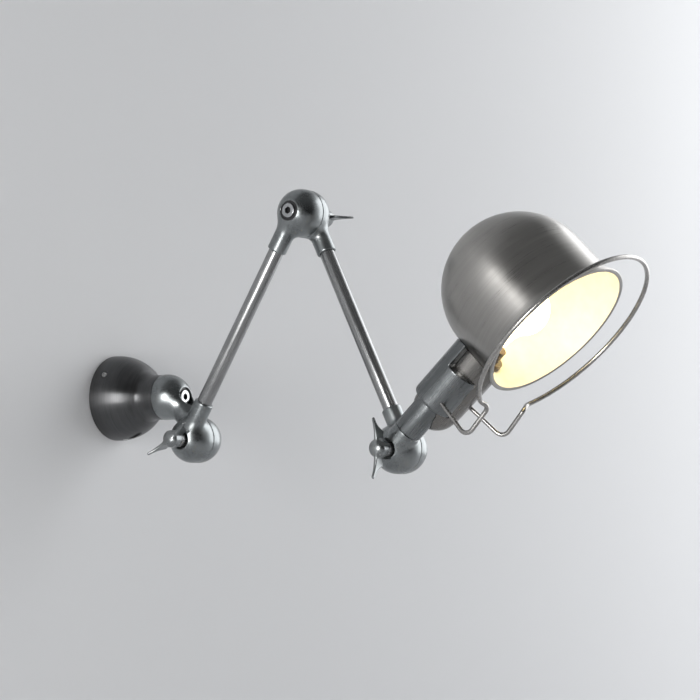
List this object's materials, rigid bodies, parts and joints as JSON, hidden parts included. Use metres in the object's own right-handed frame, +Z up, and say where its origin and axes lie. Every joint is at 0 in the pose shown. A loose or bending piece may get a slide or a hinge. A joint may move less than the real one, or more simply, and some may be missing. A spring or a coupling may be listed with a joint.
{
  "type": "articulating wall lamp",
  "caption": "Wall lamp with two tubular arms joined by ball-shaped clamp joints with wing nuts, a swivelling domed metal shade and a bent wire guard round its mouth.",
  "frame": {"origin": "on the wall, behind the middle of the wall cup, at the centre of the two slotted screw holes", "axes": "+X straight out of the wall, +Z up, +Y to the left of a person facing the wall; the arms fold in planes square to Y"},
  "size_m": [0.5613, 0.18, 0.2632],
  "materials": {
    "plate_steel": "zinc plated, satin",
    "cup_steel": "dark gunmetal, spun and brushed round its axis",
    "cast_metal": "bare casting, blue-grey, satin",
    "tube_steel": "drawn tube, satin",
    "shade_steel": "spun, brushed round its axis, warm grey",
    "can_steel": "brushed along its length, warm grey",
    "guard_steel": "bent wire, satin",
    "wing_metal": "cast, tumbled, satin",
    "bolt_steel": "polished",
    "washer_steel": "plain",
    "collar_plastic": "moulded, black, half gloss",
    "bush_steel": "turned, satin",
    "screw_steel": "plain",
    "disc_fibre": "pressed fibre",
    "grommet_rubber": "matt",
    "connector_plastic": "moulded, matt",
    "contact_brass": "plain",
    "holder_plastic": "moulded, dark brown, half gloss",
    "cap_metal": "pressed, bright",
    "insulator_glass": "black glass",
    "bulb_opal": "opal, lit",
    "bulb_mount_glass": "clear"
  },
  "bodies": {
    "wall_base": {"wall_plate": "plate_steel", "wall_cup": "cup_steel", "cup_screws": "screw_steel", "cord_grommet": "grommet_rubber", "terminal_block": "connector_plastic", "terminal_clamp_screws": "contact_brass", "neck_seat": "cast_metal", "swivel_nut": "plate_steel", "swivel_disc": "disc_fibre", "swivel_bolt": "bolt_steel", "swivel_collar": "collar_plastic"},
    "base_knuckle": {"base_knuckle": "cast_metal", "base_bolt": "bolt_steel", "base_collar": "collar_plastic", "base_disc": "disc_fibre"},
    "arm_1": {"arm_1_lower_socket": "cast_metal", "arm_1_tube": "tube_steel", "arm_1_upper_socket": "cast_metal", "base_bush": "bush_steel", "elbow_bolt": "bolt_steel", "elbow_collar": "collar_plastic", "elbow_disc": "disc_fibre"},
    "arm_2": {"arm_2_upper_socket": "cast_metal", "arm_2_tube": "tube_steel", "arm_2_lower_socket": "cast_metal", "elbow_bush": "bush_steel", "wrist_bolt": "bolt_steel", "wrist_collar": "collar_plastic", "wrist_disc": "disc_fibre"},
    "head_knuckle": {"head_knuckle": "cast_metal", "wrist_bush": "bush_steel", "pivot_nipple": "washer_steel", "pivot_washer": "washer_steel", "pivot_nut": "plate_steel"},
    "head": {"head_sleeve": "cast_metal", "head_bracket": "cast_metal", "lampholder_can": "can_steel", "lampholder_body": "holder_plastic", "lampholder_shell": "contact_brass", "lampholder_contact": "contact_brass", "lampholder_screws": "screw_steel", "shade_ring": "holder_plastic", "shade": "shade_steel", "guard_wire": "guard_steel", "bulb_cap": "cap_metal", "bulb_insulator": "insulator_glass", "bulb_contact": "contact_brass", "bulb_glass": "bulb_opal", "bulb_mount": "bulb_mount_glass"},
    "base_wing": {"base_wing_nut": "wing_metal"},
    "elbow_wing": {"elbow_wing_nut": "wing_metal"},
    "wrist_wing": {"wrist_wing_nut": "wing_metal"}
  },
  "joints": [
    {"name": "base_swivel", "type": "hinge", "parent": "wall_base", "child": "base_knuckle", "pos_m": [0.062, 0, 0], "axis": [1, 0, 0], "range_deg": [-165, 165]},
    {"name": "base_hinge", "type": "hinge", "parent": "base_knuckle", "child": "arm_1", "pos_m": [0.11, -0.013, -0.0415], "axis": [0, 1, 0], "range_deg": [-45, 110]},
    {"name": "elbow_hinge", "type": "hinge", "parent": "arm_1", "child": "arm_2", "pos_m": [0.23238, -0.013, 0.16379], "axis": [0, 1, 0], "range_deg": [-120, 38]},
    {"name": "wrist_hinge", "type": "hinge", "parent": "arm_2", "child": "head_knuckle", "pos_m": [0.33715, -0.013, -0.05102], "axis": [0, 1, 0], "range_deg": [-34, 105]},
    {"name": "head_swivel", "type": "hinge", "parent": "head_knuckle", "child": "head", "pos_m": [0.33715, -0.026, -0.05102], "axis": [0.7193, 0, 0.6947], "range_deg": [-165, 165]},
    {"name": "base_wing_turn", "type": "hinge", "parent": "base_knuckle", "child": "base_wing", "pos_m": [0.11, -0.013, -0.0415], "axis": [0, -1, 0], "range_deg": [-20, 180]},
    {"name": "elbow_wing_turn", "type": "hinge", "parent": "arm_1", "child": "elbow_wing", "pos_m": [0.23238, -0.013, 0.16379], "axis": [0, 1, 0], "range_deg": [-20, 180]},
    {"name": "wrist_wing_turn", "type": "hinge", "parent": "arm_2", "child": "wrist_wing", "pos_m": [0.33715, -0.013, -0.05102], "axis": [0, -1, 0], "range_deg": [-20, 180]}
  ]
}
